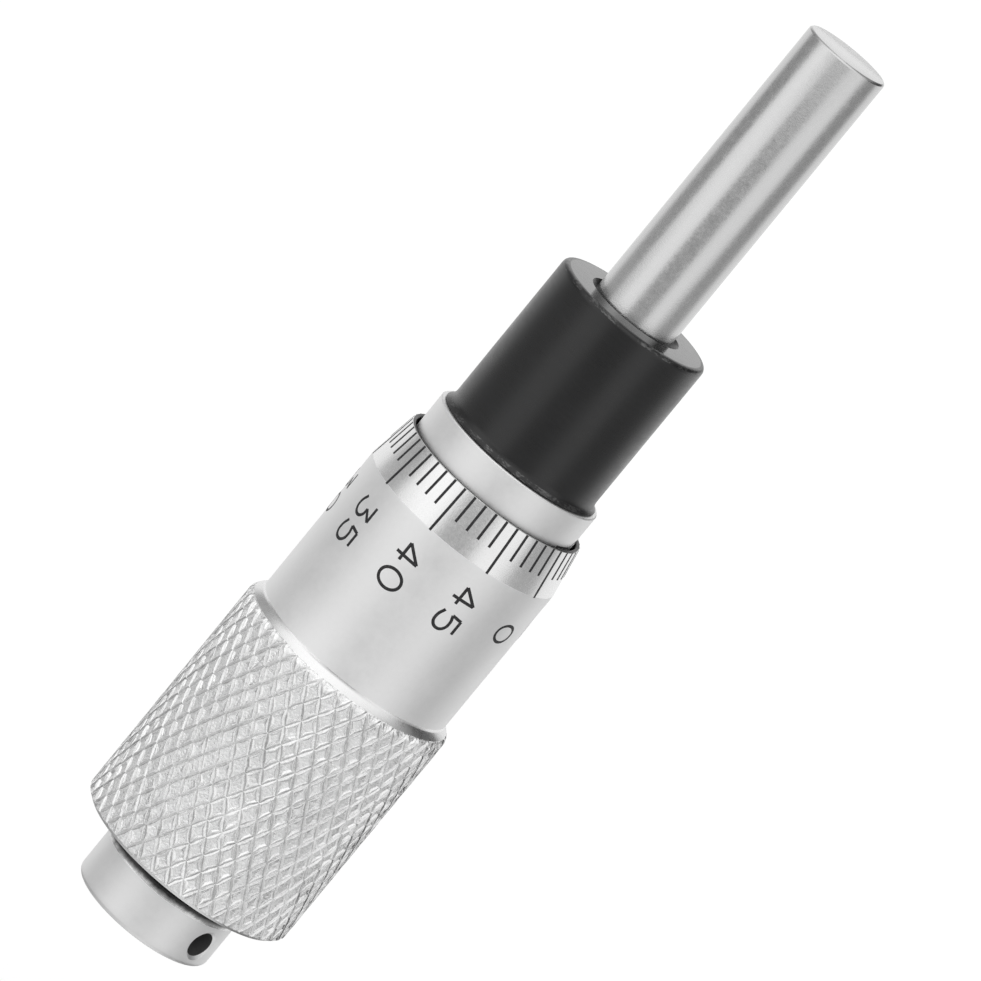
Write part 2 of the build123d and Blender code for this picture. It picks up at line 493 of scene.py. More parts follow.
def place_mesh(bm: BMesh, name: str) -> Object:
    """Put a mesh into the scene.

    Args:
        bm: the mesh, which is freed.
        name: the object's name.

    Returns:
        The object, at the origin.
    """
    mesh = bpy.data.meshes.new(name)
    bm.to_mesh(mesh)
    bm.free()
    placed = bpy.data.objects.new(name, mesh)
    bpy.context.scene.collection.objects.link(placed)
    return placed


def finish_mesh(
    bm: BMesh, name: str, finishes: Sequence[Finish], sharp_degrees: float = 30.0
) -> Object:
    """Turn a mesh in millimetres into a dressed object in metres.

    Args:
        bm: the mesh, which is freed.
        name: the object's name.
        finishes: the finishes, in the order of the faces' numbers.
        sharp_degrees: edges that turn more than this stay sharp.

    Returns:
        The object, at the origin.
    """
    bmesh.ops.scale(bm, vec=(MM, MM, MM), verts=bm.verts)
    piece = place_mesh(bm, name)
    for finish in finishes:
        piece.data.materials.append(finish.build())
    piece.data.shade_smooth()
    piece.data.set_sharp_from_angle(angle=math.radians(sharp_degrees))
    return piece


def pour(source: BMesh, target: BMesh) -> None:
    """Add a mesh to another one.

    Args:
        source: the mesh that is added, which is freed.
        target: the mesh that takes it.
    """
    mesh = bpy.data.meshes.new("poured")
    source.to_mesh(mesh)
    source.free()
    target.from_mesh(mesh)
    bpy.data.meshes.remove(mesh)


def carve(bm: BMesh, cutters: Sequence[BMesh]) -> BMesh:
    """Cut closed shapes out of a closed mesh.

    Args:
        bm: the mesh that is cut, which is freed.
        cutters: the shapes taken away, which are freed.

    Returns:
        The cut mesh.
    """
    stock = place_mesh(bm, "stock")
    tools = [place_mesh(cutter, "tool") for cutter in cutters]
    for tool in tools:
        modifier = stock.modifiers.new("cut", "BOOLEAN")
        modifier.operation = "DIFFERENCE"
        modifier.solver = "EXACT"
        modifier.object = tool
    result = bmesh.new()
    result.from_object(stock, bpy.context.evaluated_depsgraph_get())
    for leftover in [stock, *tools]:
        bpy.data.objects.remove(leftover)
    bmesh.ops.remove_doubles(result, verts=result.verts, dist=WELD)
    return result


def ring_of_blocks(low: Vector, high: Vector, count: int) -> list[BMesh]:
    """Repeat a box evenly round the axis.

    Args:
        low: the first box's lowest corner, in millimetres.
        high: its highest corner.
        count: how many boxes there are.

    Returns:
        The boxes.
    """
    blocks = []
    for index in range(count):
        bm = bmesh.new()
        bmesh.ops.create_cube(bm, size=1.0)
        bmesh.ops.scale(bm, vec=high - low, verts=bm.verts)
        bmesh.ops.translate(bm, vec=(low + high) / 2, verts=bm.verts)
        turn_mesh(bm, index * FULL_TURN / count, "Z")
        blocks.append(bm)
    return blocks


def turn_mesh(bm: BMesh, angle: float, axis: str) -> None:
    """Turn a mesh about one of the frame's axes by an angle in radians."""
    bmesh.ops.rotate(bm, cent=(0, 0, 0), matrix=Matrix.Rotation(angle, 3, axis), verts=bm.verts)


def around(radius: float, azimuth: float, height: float) -> Vector:
    """Place a point by its azimuth in radians, counted rightwards from the front, -Y."""
    return Vector((radius * math.sin(azimuth), -radius * math.cos(azimuth), height))


# Engraved scales

Stroke = tuple[bool, Corner, list[tuple[float, float]]]

# Each numeral is a few strokes of a plain engraver's alphabet: whether the stroke closes,
# how it passes its points, and its points across and up in shares of the numeral's size.
TWO_BOW = [(0.03, 0.75), (0.2, 0.95), (0.55, 1.0), (0.93, 0.75), (0.75, 0.42), (0.0, 0.0)]
THREE_BOW = [(0.45, 0.6), (0.82, 0.55), (1.0, 0.3), (0.82, 0.05), (0.45, 0.0), (0.0, 0.17)]
FIVE_BOW = [(0.06, 0.55), (0.45, 0.64), (0.86, 0.55), (1.0, 0.31), (0.85, 0.06)]
FIVE_BOW += [(0.45, 0.0), (0.0, 0.14)]
NUMERALS: dict[str, list[Stroke]] = {
    "0": [(True, Corner.ROUND, [(0.5, 1.0), (0.0, 0.5), (0.5, 0.0), (1.0, 0.5)])],
    "1": [
        (False, Corner.SHARP, [(0.55, 1.0), (0.55, 0.0)]),
        (False, Corner.SHARP, [(0.25, 0.78), (0.55, 1.0)]),
    ],
    "2": [
        (False, Corner.ROUND, TWO_BOW),
        (False, Corner.SHARP, [(0.0, 0.0), (1.0, 0.0)]),
    ],
    "3": [
        (False, Corner.SHARP, [(0.06, 1.0), (0.92, 1.0)]),
        (False, Corner.SHARP, [(0.92, 1.0), (0.45, 0.6)]),
        (False, Corner.ROUND, THREE_BOW),
    ],
    "4": [
        (False, Corner.SHARP, [(0.7, 0.0), (0.7, 1.0)]),
        (False, Corner.SHARP, [(0.7, 1.0), (0.0, 0.3)]),
        (False, Corner.SHARP, [(0.0, 0.3), (1.0, 0.3)]),
    ],
    "5": [
        (False, Corner.SHARP, [(0.14, 1.0), (0.9, 1.0)]),
        (False, Corner.SHARP, [(0.14, 1.0), (0.06, 0.55)]),
        (False, Corner.ROUND, FIVE_BOW),
    ],
}


@dataclass
class Engraver:
    """Lays scale lines and numerals on a turned surface.

    Every stroke is a thin bar of paint that stands a hair above the metal and reaches
    into it, so it stays on the surface from every side.
    """

    surface: Callable[[float], float]
    stand: float = 0.006
    root: float = 0.03
    numeral_height: float = 1.38
    numeral_width: float = 1.12
    numeral_pitch: float = 1.66
    stroke: float = 0.18
    places: int = 1
    row_length: float = 0.4
    arc_columns: int = 10
    long_edge: float = 0.3
    long_edge_cuts: int = 6
    bm: BMesh = field(default_factory=bmesh.new)

    def line(self, azimuth: float, top: float, bottom: float, width: float) -> None:
        """Lay a line along the axis.

        Args:
            azimuth: where the line lies, in radians from the front.
            top: its height nearest the measuring face.
            bottom: its other end.
            width: its width.
        """
        rows = max(2, round((top - bottom) / self.row_length))
        self._bar(azimuth, width, top, bottom, rows, 1)

    def arc(self, start: float, end: float, height: float, width: float) -> None:
        """Lay a line round the axis.

        Args:
            start: the azimuth where it starts.
            end: the azimuth where it ends.
            height: the line's middle.
            width: its width along the axis.
        """
        across = abs(end - start) * self.surface(height)
        top, bottom = height + width / 2, height - width / 2
        self._bar((start + end) / 2, across, top, bottom, 1, self.arc_columns)

    def _bar(
        self, azimuth: float, across: float, top: float, bottom: float, rows: int, columns: int
    ) -> None:
        """Bend a flat bar onto the surface.

        Args:
            azimuth: the bar's middle.
            across: its size round the axis, in millimetres.
            top: its upper end.
            bottom: its lower end.
            rows: faces along the axis.
            columns: faces round it.
        """
        bar = bmesh.new()
        bmesh.ops.create_grid(bar, x_segments=columns, y_segments=rows, size=1 / 2)
        bmesh.ops.scale(bar, vec=(across, top - bottom, 1), verts=bar.verts)
        bmesh.ops.translate(bar, vec=(0, (top + bottom) / 2, self.stand), verts=bar.verts)
        grown = bmesh.ops.extrude_face_region(bar, geom=bar.faces[:])
        deep = [item for item in grown["geom"] if isinstance(item, BMVert)]
        bmesh.ops.translate(bar, vec=(0, 0, -self.root), verts=deep)
        self._wrap(bar, azimuth)

    def text(self, words: str, azimuth: float, start: float) -> None:
        """Engrave numerals that read away from the measuring face.

        Args:
            words: the digits.
            azimuth: the middle of their height.
            start: the axial height where the first numeral starts.
        """
        if len(words) < self.places:
            start -= self.numeral_pitch * (self.places - len(words)) / 2
        for index, digit in enumerate(words):
            self._wrap(self._numeral(digit, start - index * self.numeral_pitch), azimuth)

    def _numeral(self, digit: str, start: float) -> BMesh:
        """Draw a numeral flat, with round strokes that are pressed thin.

        Args:
            digit: the numeral.
            start: the axial height where it starts.

        Returns:
            The strokes, in millimetres.
        """
        curve = bpy.data.curves.new("numeral", "CURVE")
        curve.dimensions = "3D"
        curve.bevel_depth = self.stroke / 2
        curve.bevel_resolution = 2
        curve.resolution_u = 10
        curve.use_fill_caps = True
        for closed, corner, points in NUMERALS[digit]:
            spline = curve.splines.new("BEZIER")
            spline.bezier_points.add(len(points) - 1)
            for point, (across, up) in zip(spline.bezier_points, points):
                y = start - across * self.numeral_width - self.stroke / 2
                point.co = ((up - 0.5) * self.numeral_height, y, 0)
                point.handle_left_type = corner.value
                point.handle_right_type = corner.value
            spline.use_cyclic_u = closed
        holder = bpy.data.objects.new("numeral", curve)
        bpy.context.scene.collection.objects.link(holder)
        graph = bpy.context.evaluated_depsgraph_get()
        mesh = bpy.data.meshes.new_from_object(holder.evaluated_get(graph))
        strokes = bmesh.new()
        strokes.from_mesh(mesh)
        bpy.data.objects.remove(holder)
        bpy.data.meshes.remove(mesh)
        long_edges = [edge for edge in strokes.edges if edge.calc_length() > self.long_edge]
        bmesh.ops.subdivide_edges(
            strokes, edges=long_edges, cuts=self.long_edge_cuts, use_grid_fill=True
        )
        # A round stroke stands twice as proud in its middle as a flat line does.
        thinness = 2 * self.stand / (self.stroke / 2)
        bmesh.ops.scale(strokes, vec=(1, 1, thinness), verts=strokes.verts)
        return strokes

    def _wrap(self, sheet: BMesh, azimuth: float) -> None:
        """Bend a flat mesh onto the surface and add it to the engraving.

        Args:
            sheet: x round the axis, y along it and z out of the surface; it is freed.
            azimuth: where x = 0 comes to lie.
        """
        for vert in sheet.verts:
            radius = self.surface(vert.co.y)
            vert.co = around(radius + vert.co.z, azimuth + vert.co.x / radius, vert.co.y)
        bmesh.ops.recalc_face_normals(sheet, faces=sheet.faces)
        pour(sheet, self.bm)


# Sub-assemblies


@dataclass
class Stem:
    """The clamping stem with its inner barrel and split thread seat."""

    radius: float = 4.75
    length: float = 9.9
    chamfer: float = 0.35
    chamfer_rings: int = 8
    chamfer_power: float = 1.15
    mouth: float = 0.38
    barrel_radius: float = 4.5
    guide_radius: float = 2.52
    guide_end: float = 0.65
    relief_radius: float = 3.25
    seat_radius: float = 3.02
    seat_front: float = -12.65
    nut_front: float = -17.1
    nut_seat_radius: float = 3.7
    barrel_end: float = -21.3
    lead_length: float = 0.8
    lead_depth: float = 0.25
    slot_width: float = 0.4
    slots: int = 3
    root_height: float = 0.75
    root_radius: float = 5.03
    root_lift: float = 0.09
    root_rings: int = 12
    lip_width: float = 0.04
    lip_height: float = 0.036
    worn_root: float = 0.3
    worn_edge: float = 0.2
    worn_edge_width: float = 0.3
    steps: int = 160

    def build(self) -> Object:
        """Turn the stem and saw its slots.

        Returns:
            The finished piece.
        """
        bm = turn_profile(
            [
                (self.guide_radius + self.mouth, self.length),
                *rounded_corner(
                    self.radius, self.length, self.chamfer, self.chamfer_rings, self.chamfer_power
                ),
                *self._root(),
                (self.root_radius - self.lip_width, self.lip_height),
                (self.radius, 0.0),
                (self.barrel_radius, 0.0),
                (self.barrel_radius, self.nut_front),
                (self.nut_seat_radius, self.nut_front),
                (self.nut_seat_radius, self.barrel_end + self.lead_length),
                (self.nut_seat_radius - self.lead_depth, self.barrel_end),
                (self.seat_radius, self.barrel_end),
                (self.seat_radius, self.seat_front),
                (self.relief_radius, self.seat_front),
                (self.relief_radius, self.guide_end),
                (self.guide_radius, self.guide_end),
                (self.guide_radius, self.length - self.mouth),
            ],
            self.steps,
        )
        low = Vector((self.seat_radius / 2, -self.slot_width / 2, self.barrel_end - OVERRUN))
        high = Vector((self.radius, self.slot_width / 2, self.nut_front))
        bm = carve(bm, ring_of_blocks(low, high, self.slots))
        finishes = [BLACK_OXIDE, WORN_OXIDE, RUBBED_OXIDE]
        for face in bm.faces:
            face.material_index = finishes.index(self._finish_of(face))
        piece = finish_mesh(bm, "clamping_stem", finishes)
        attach(piece, Body.STEM.value)
        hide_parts("stem")
        return piece

    def _root(self) -> list[RingPoint]:
        """Draw the hollow flare that carries the stem down on to the shoulder.

        Returns:
            Its points, from the stem outwards.
        """
        shares = [index / self.root_rings for index in range(self.root_rings + 1)]
        reach, fall = self.root_radius - self.radius, self.root_lift - self.root_height
        return [(self.radius + reach * s**3, self.root_height + fall * s) for s in shares]

    def _finish_of(self, face: BMFace) -> Finish:
        """Choose between the sound oxide, the worn one and the front face's.

        Args:
            face: a face of the stem.

        Returns:
            The finish.
        """
        middle = face.calc_center_median()
        out = math.hypot(middle.x, middle.y)
        if middle.z > self.length - HAIR:
            return RUBBED_OXIDE
        at_root = self.root_lift < middle.z < self.worn_root and out > self.radius
        at_side = out > self.radius - self.worn_edge_width
        at_edge = at_side and middle.z > self.length - self.worn_edge
        return WORN_OXIDE if at_root or at_edge else BLACK_OXIDE


@dataclass
class Sleeve:
    """The graduated sleeve whose front face is the mounting shoulder."""

    radius: float = 5.25
    bore: float = 4.52
    end: float = -16.6
    chamfer: float = 0.06
    mouth: float = 0.3
    zero: float = -2.0
    index_azimuth: float = math.radians(61.1)
    index_width: float = 0.11
    overrun: float = 0.06
    marks: int = 13
    numbered: int = 5
    half_mark: float = 0.5
    mark_width: float = 0.1
    short_mark: float = 0.95
    long_mark: float = 1.5
    numeral_offset: float = 2.25
    steps: int = 192

    def build(self) -> list[Object]:
        """Turn the sleeve and engrave its scale.

        Returns:
            The sleeve and its engraving.
        """
        bm = turn_profile(
            [
                (self.bore + self.mouth, 0.0),
                (self.radius - self.chamfer, 0.0),
                (self.radius, -self.chamfer),
                (self.radius, self.end + self.chamfer),
                (self.radius - self.chamfer, self.end),
                (self.bore, self.end),
                (self.bore, -self.mouth),
            ],
            self.steps,
        )
        sleeve = finish_mesh(bm, "graduated_sleeve", [SATIN_CHROME])
        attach(sleeve, Body.STEM.value)
        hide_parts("sleeve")
        scale = finish_mesh(self._scale(), "sleeve_scale", [ENGRAVING_BLACK])
        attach(scale, Body.STEM.value)
        return [sleeve, scale]

    def _scale(self) -> BMesh:
        """Engrave the index line, the millimetres and the halves between them.

        Returns:
            The engraving, in millimetres.
        """
        engraver = Engraver(
            lambda height: self.radius,
            numeral_height=1.1,
            numeral_width=0.75,
            numeral_pitch=1.0,
            stroke=0.13,
        )
        index, short = self.index_azimuth, self.short_mark / self.radius
        last = self.zero - self.marks
        engraver.line(index, self.zero + self.overrun, last - self.overrun, self.index_width)
        for mark in range(self.marks + 1):
            height = self.zero - mark
            reach = short if mark % self.numbered else self.long_mark / self.radius
            engraver.arc(index, index + reach, height, self.mark_width)
            if mark < self.marks:
                engraver.arc(index - short, index, height - self.half_mark, self.mark_width)
            if mark % self.numbered == 0:
                words = str(mark)
                length = engraver.numeral_width + (len(words) - 1) * engraver.numeral_pitch
                start = height + (length + engraver.stroke) / 2
                engraver.text(words, index + self.numeral_offset / self.radius, start)
        return engraver.bm


@dataclass
class AdjustingNut:
    """The notched nut that closes the split thread seat."""

    radius: float = 4.5
    bore: float = 3.72
    front: float = -17.1
    end: float = -20.3
    chamfer: float = 0.2
    notch_width: float = 1.2
    notch_depth: float = 0.4
    notches: int = 4
    steps: int = 96

    def build(self) -> Object:
        """Turn the nut and cut its notches.

        Returns:
            The finished piece.
        """
        bm = turn_profile(
            [
                (self.bore, self.front),
                (self.radius - self.chamfer, self.front),
                (self.radius, self.front - self.chamfer),
                (self.radius, self.end + self.chamfer),
                (self.radius - self.chamfer, self.end),
                (self.bore, self.end),
            ],
            self.steps,
        )
        floor, half_way = self.radius - self.notch_depth, (self.front + self.end) / 2
        low = Vector((floor, -self.notch_width / 2, self.end - OVERRUN))
        high = Vector((self.radius + OVERRUN, self.notch_width / 2, half_way))
        bm = carve(bm, ring_of_blocks(low, high, self.notches))
        piece = finish_mesh(bm, "play_nut", [TURNED_STEEL])
        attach(piece, Body.STEM.value)
        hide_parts("adjusting_nut")
        return piece


@dataclass
class Spindle:
    """The ground spindle, its screw and the cone that carries the thimble."""

    radius: float = 2.5
    tip: float = 27.8
    chamfer: float = 0.12
    corner_break: float = 0.025
    corner_angle: float = math.radians(25.0)
    face_depth: float = 1.0
    thread_radius: float = 3.0
    thread_front: float = 0.35
    thread_end: float = -21.9
    thread_depth: float = 0.27
    pitch: float = 0.5
    crest: tuple[float, float] = (0.45, 0.55)
    runout_radius: float = 2.3
    runout: float = 0.7
    cone_front: float = -22.2
    cone_radius: float = 2.75
    cone_lip: float = 0.04
    tail_end: float = -27.07
    tail_radius: float = 2.238
    tapped_radius: float = 1.52
    tapped_top: float = -22.97
    steps: int = 160

    def build(self) -> Object:
        """Turn the spindle with the rings of its screw.

        Returns:
            The finished piece.
        """
        profile = [
            (0.0, self.tip),
            (self.radius - self.chamfer, self.tip),
            (self.radius, self.tip - self.chamfer),
            (self.radius, self.thread_front + self.runout),
            (self.runout_radius, self.thread_front + self.runout),
            (self.runout_radius, self.thread_front),
        ]
        height = self.thread_front
        while height - self.pitch > self.thread_end:
            profile.append((self.thread_radius - self.thread_depth, height))
            profile += [(self.thread_radius, height - self.pitch * share) for share in self.crest]
            height -= self.pitch
        profile += [
            (self.thread_radius - self.thread_depth, self.thread_end),
            (self.cone_radius - self.cone_lip, self.thread_end),
            (self.cone_radius, self.cone_front),
            (self.tail_radius, self.tail_end),
            (self.tapped_radius, self.tail_end),
            (self.tapped_radius, self.tapped_top),
            (0.0, self.tapped_top),
        ]
        bm = turn_profile(profile, self.steps)
        corners = [
            edge
            for edge in bm.edges
            if edge.calc_face_angle(0.0) > self.corner_angle
            and ring_height(edge) > self.tip - self.face_depth
        ]
        bmesh.ops.bevel(
            bm,
            geom=corners,
            offset=self.corner_break,
            offset_type="OFFSET",
            segments=1,
            profile=0.5,
            affect="EDGES",
            material=-1,
            clamp_overlap=True,
        )
        piece = finish_mesh(bm, "ground_spindle", [GROUND_STEEL])
        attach(piece, Body.SPINDLE.value)
        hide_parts("spindle")
        return piece


THIMBLE_FINISHES = [
    SATIN_CHROME,
    TURNED_CHROME,
    RUBBED_CHROME,
    SHADED_DARK_STEEL,
    ROLLED_CHROME,
    BURNISHED_CHROME,
    SHADED_GROOVE,
]


@dataclass
class Thimble:
    """The turning thimble: bevelled scale, plain body, flare and knurled grip."""

    front: float = -2.0
    bore: float = 5.42
    bore_margin: float = 0.05
    oiled_width: float = 0.3
    edge_radius: float = 5.66
    edge_break: float = 0.04
    edge_ease: float = 0.03
    bevel_end: float = -4.8
    bevel_drop: float = 0.01
    bevel_ease: float = 0.15
    body_radius: float = 6.15
    body_ring: float = 3.0
    flare_start: float = -14.25
    flare_root: tuple[RingPoint, ...] = ((0.05, -0.05), (0.012, 0.03), (0.0, 0.12))
    rubbed_reach: float = 0.1
    knurl_top: float = -14.7
    grip_radius: float = 6.7
    knurl_bottom: float = -28.8
    end: float = -29.07
    web_front: float = -22.2
    seat_radius: float = 2.77
    seat_end: float = -27.27
    seat_end_radius: float = 2.237
    hole_radius: float = 1.7
    divisions: int = 50
    numbered: int = 5
    first_value: int = 35
    first_azimuth: float = math.radians(-46.9)
    short_line: float = 1.66
    long_line: float = 2.86
    line_width: float = 0.15
    line_inset: float = 0.02
    numeral_start: float = 1.15
    knurl_count: int = 42
    knurl_half_rows: int = 17
    spare_cells: int = 4
    spare_side: float = 1.1
    spare_rear: int = 2
    spare_front: int = 3
    knurl_depth: float = 0.07
    groove_half_width: float = 0.095
    shoulder_depth: float = 0.015
    shoulder_width: float = 0.03
    ridge_width: float = 0.03
    rim_drop: float = 0.12
    rim_length: float = 0.32
    rim_cuts: tuple[float, ...] = (0.3, 0.6, 1.0)
    ramp_cuts: tuple[float, ...] = (0.0, 0.25, 0.5, 0.75)
    unevenness: float = 0.6
    patch_size: float = 1.6
    tear: float = 0.07
    tear_size: float = 0.4
    tear_seed: int = 7
    tear_sinking: float = 1 / 3
    dish_seed: int = 97
    dish_depths: tuple[float, ...] = (0.02, 0.04, 0.06, 0.08)
    dish_floor: float = 0.02
    dish_slope: float = 0.72
    dish_shift_around: tuple[float, float] = (-0.12, 0.12)
    dish_shift_along: tuple[float, float] = (-0.05, 0.25)
    knurl_weld: float = 0.002
    seam_reach: float = 0.03
    steps: int = 252

    def build(self) -> list[Object]:
        """Make the thimble and its engraving.

        Returns:
            The thimble and its scale.
        """
        bm = self._shell()
        self._knurl_into(bm)
        for face in bm.faces:
            if not face.material_index:
                face.material_index = THIMBLE_FINISHES.index(self._turned_finish(face))
        piece = finish_mesh(bm, "graduated_thimble", THIMBLE_FINISHES, sharp_degrees=26.0)
        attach(piece, Body.THIMBLE.value)
        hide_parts("thimble")
        scale = finish_mesh(self._scale(), "thimble_scale", [ENGRAVING_BLACK])
        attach(scale, Body.THIMBLE.value)
        return [piece, scale]

    @property
    def root_radius(self) -> float:
        """Radius of the bottom of the knurl's grooves."""
        return self.grip_radius - self.knurl_depth

    @property
    def cone_slope(self) -> float:
        """Growth of the flare's radius for each millimetre towards the cap."""
        rise = self.grip_radius - self.rim_drop - self.body_radius
        return rise / (self.flare_start - self.knurl_top)

    @property
    def grooves_start(self) -> float:
        """Height where the grooves come out of the flare."""
        emerging = self.root_radius - self.rim_drop - self.body_radius
        return self.flare_start - emerging / self.cone_slope

    @property
    def grooves_end(self) -> float:
        """Height where the grooves run out into the rear rim."""
        return self.knurl_bottom - self.knurl_depth

    def turned_limit(self, height: float) -> float:
        """Give the turned outline over the knurl.

        Args:
            height: a height on the grip.

        Returns:
            The greatest radius there.
        """
        cone = self.body_radius + (self.flare_start - height) * self.cone_slope
        rim = self.grip_radius - (self.knurl_bottom - height)
        return min(self._skin(height), cone, rim)

    def _skin(self, height: float) -> float:
        """Give the radius of the crests, which drop a little towards the flare."""
        nearness = max(0.0, 1 - (self.knurl_top - height) / self.rim_length)
        return self.grip_radius - self.rim_drop * min(1.0, nearness) ** 2

    def outline(self, height: float) -> float:
        """Give the outline of the bevel and the body.

        Args:
            height: a height on either.

        Returns:
            The radius there.
        """
        if height < self.bevel_end:
            return self.body_radius
        share = (self.front - height) / (self.front - self.bevel_end)
        return self.edge_radius + share * (self.body_radius - self.edge_radius)

    def _turned_finish(self, face: BMFace) -> Finish:
        """Choose the finish of a turned face.

        Args:
            face: a face of the shell.

        Returns:
            The finish.
        """
        middle = face.calc_center_median()
        out = math.hypot(middle.x, middle.y)
        on_bevel = self.bevel_end < middle.z < self.front - HAIR
        if on_bevel and out > self.bore + self.bore_margin:
            return TURNED_CHROME
        if middle.z < self.flare_start + self.rubbed_reach and out > self.body_radius:
            return RUBBED_CHROME
        # The inside of the front bore and the rear face take the dark steel of the painted shade.
        inside = middle.z > self.web_front and out < self.bore + self.oiled_width
        return SHADED_DARK_STEEL if inside or middle.z < self.end + HAIR else SATIN_CHROME

    def _shell(self) -> BMesh:
        """Turn all but the knurled band, which is left open.

        Returns:
            The mesh, in millimetres.
        """
        rear_radius = self.grip_radius - (self.knurl_bottom - self.end)
        root = [(self.body_radius + out, self.flare_start + up) for out, up in self.flare_root]
        profile = [
            (self.root_radius - self.rim_drop, self.grooves_start),
            *root,
            (self.body_radius, self.flare_start + self.body_ring),
            (self.body_radius, self.bevel_end - self.body_ring),
            (self.body_radius, self.bevel_end - self.bevel_ease),
            (self.body_radius - self.bevel_drop, self.bevel_end),
            (self.edge_radius, self.front - self.edge_ease),
            (self.edge_radius - self.edge_break, self.front),
            (self.bore + self.edge_break, self.front),
            (self.bore, self.front - self.edge_break),
            (self.bore, self.web_front),
            (self.seat_radius, self.web_front),
            (self.seat_end_radius, self.seat_end),
            (self.hole_radius, self.seat_end),
            (self.hole_radius, self.end),
            (rear_radius - self.edge_ease, self.end),
            (rear_radius, self.end + self.edge_ease),
            (self.root_radius, self.grooves_end),
        ]
        return turn_profile(profile, self.steps, closed=False)

    def _knurl_into(self, bm: BMesh) -> None:
        """Roll the diamond sheet and join it to the turned shell.

        A noise that closes round the axis tears the lattice a little: sideways all over, and
        in depth and height by a share that falls to nothing at the two rims.

        Args:
            bm: the open shell.
        """
        noise.seed_set(self.tear_seed)
        sheet = self._diamond_sheet()
        for vert in sheet.verts:
            azimuth, height = vert.co.x / self.grip_radius, vert.co.y
            place = around(self.grip_radius, azimuth, height)
            torn = noise.noise_vector(place / self.tear_size) * self.tear
            depth = self.knurl_depth - vert.co.z
            depth *= 1 + self.unevenness * noise.noise(place / self.patch_size)
            radius = min(self._skin(height) - depth, self.turned_limit(height))
            inland = min(self.grooves_start - height, height - self.grooves_end)
            share = min(1.0, inland / self.rim_length)
            radius -= abs(torn.y) * share * self.tear_sinking
            azimuth += torn.x / self.grip_radius
            vert.co = around(radius, azimuth, height + torn.z * share)
        bmesh.ops.remove_doubles(sheet, verts=sheet.verts, dist=self.knurl_weld)
        pour(sheet, bm)
        for height in (self.grooves_start, self.grooves_end):
            open_edges = [edge for edge in bm.edges if len(edge.link_faces) == 1]
            rim = [e for e in open_edges if abs(ring_height(e) - height) < self.seam_reach]
            bmesh.ops.bridge_loops(bm, edges=rim)
        bmesh.ops.recalc_face_normals(bm, faces=bm.faces)

    def _diamond_sheet(self) -> BMesh:
        """Make the knurl flat: x round the axis, y along it and z out of it.

        A turned square grid gives the lattice. Each diamond is raised between its grooves,
        its shoulder is softened, and the crest keeps the shallow dish that rolling leaves.

        Returns:
            The sheet, in millimetres.
        """
        half_width = math.pi * self.grip_radius / self.knurl_count
        half_height = (self.knurl_top - self.knurl_bottom) / self.knurl_half_rows
        reach = half_width * self.knurl_count
        sheet = self._lattice(half_width, half_height)
        crests = sheet.faces[:]
        rise = self.knurl_depth - self.shoulder_depth
        walls = self._inset(sheet, crests, self.groove_half_width, rise)
        self._inset(sheet, crests, self.shoulder_width, self.shoulder_depth)
        self._inset(sheet, crests, self.ridge_width, 0)
        self._dress(sheet.faces, ROLLED_CHROME)
        # The groove walls take the darker colour of the painted shade in the creases.
        self._dress(walls, SHADED_GROOVE)
        self._dress(self._dish(sheet, crests, half_width, half_height), BURNISHED_CHROME)
        self._cut(sheet, (reach, 0, 0), (1, 0, 0), True)
        self._cut(sheet, (-reach, 0, 0), (-1, 0, 0), True)
        self._cut(sheet, (0, self.grooves_start, 0), (0, 1, 0), True)
        self._cut(sheet, (0, self.grooves_end, 0), (0, -1, 0), True)
        ramp = self.grooves_start - self.knurl_top
        levels = [self.knurl_top + ramp * share for share in self.ramp_cuts]
        levels += [self.knurl_top - self.rim_length * share for share in self.rim_cuts]
        levels += [self.knurl_bottom, self.knurl_bottom - self.knurl_depth / 2]
        for height in levels:
            self._cut(sheet, (0, height, 0), (0, 1, 0), False)
        return sheet

    def _lattice(self, half_width: float, half_height: float) -> BMesh:
        """Lay the bare diamonds over the grip and a few half diamonds past its rims.

        Args:
            half_width: half a diamond, round the axis.
            half_height: half a diamond, along it.

        Returns:
            The flat sheet, one face to a diamond, with its edges halved.
        """
        cells = self.knurl_count + self.knurl_half_rows // 2 + self.spare_cells
        cells += cells % 2
        sheet = bmesh.new()
        bmesh.ops.create_grid(sheet, x_segments=cells, y_segments=cells, size=cells / 2)
        turn_mesh(sheet, math.pi / 4, "Z")
        stretch = Vector((half_width, half_height, 1)) * math.sqrt(2)
        bmesh.ops.scale(sheet, vec=stretch, verts=sheet.verts)
        middle = self.knurl_bottom + self.knurl_half_rows // 2 * half_height
        bmesh.ops.translate(sheet, vec=(0, middle, 0), verts=sheet.verts)
        side = half_width * (self.knurl_count + self.spare_side)
        low = self.knurl_bottom - self.spare_rear * half_height
        high = self.knurl_top + self.spare_front * half_height
        centres = [(face, face.calc_center_median()) for face in sheet.faces]
        far = [face for face, at in centres if abs(at.x) > side or not low < at.y < high]
        bmesh.ops.delete(sheet, geom=far, context="FACES")
        bmesh.ops.bisect_edges(sheet, edges=sheet.edges[:], cuts=1)
        return sheet

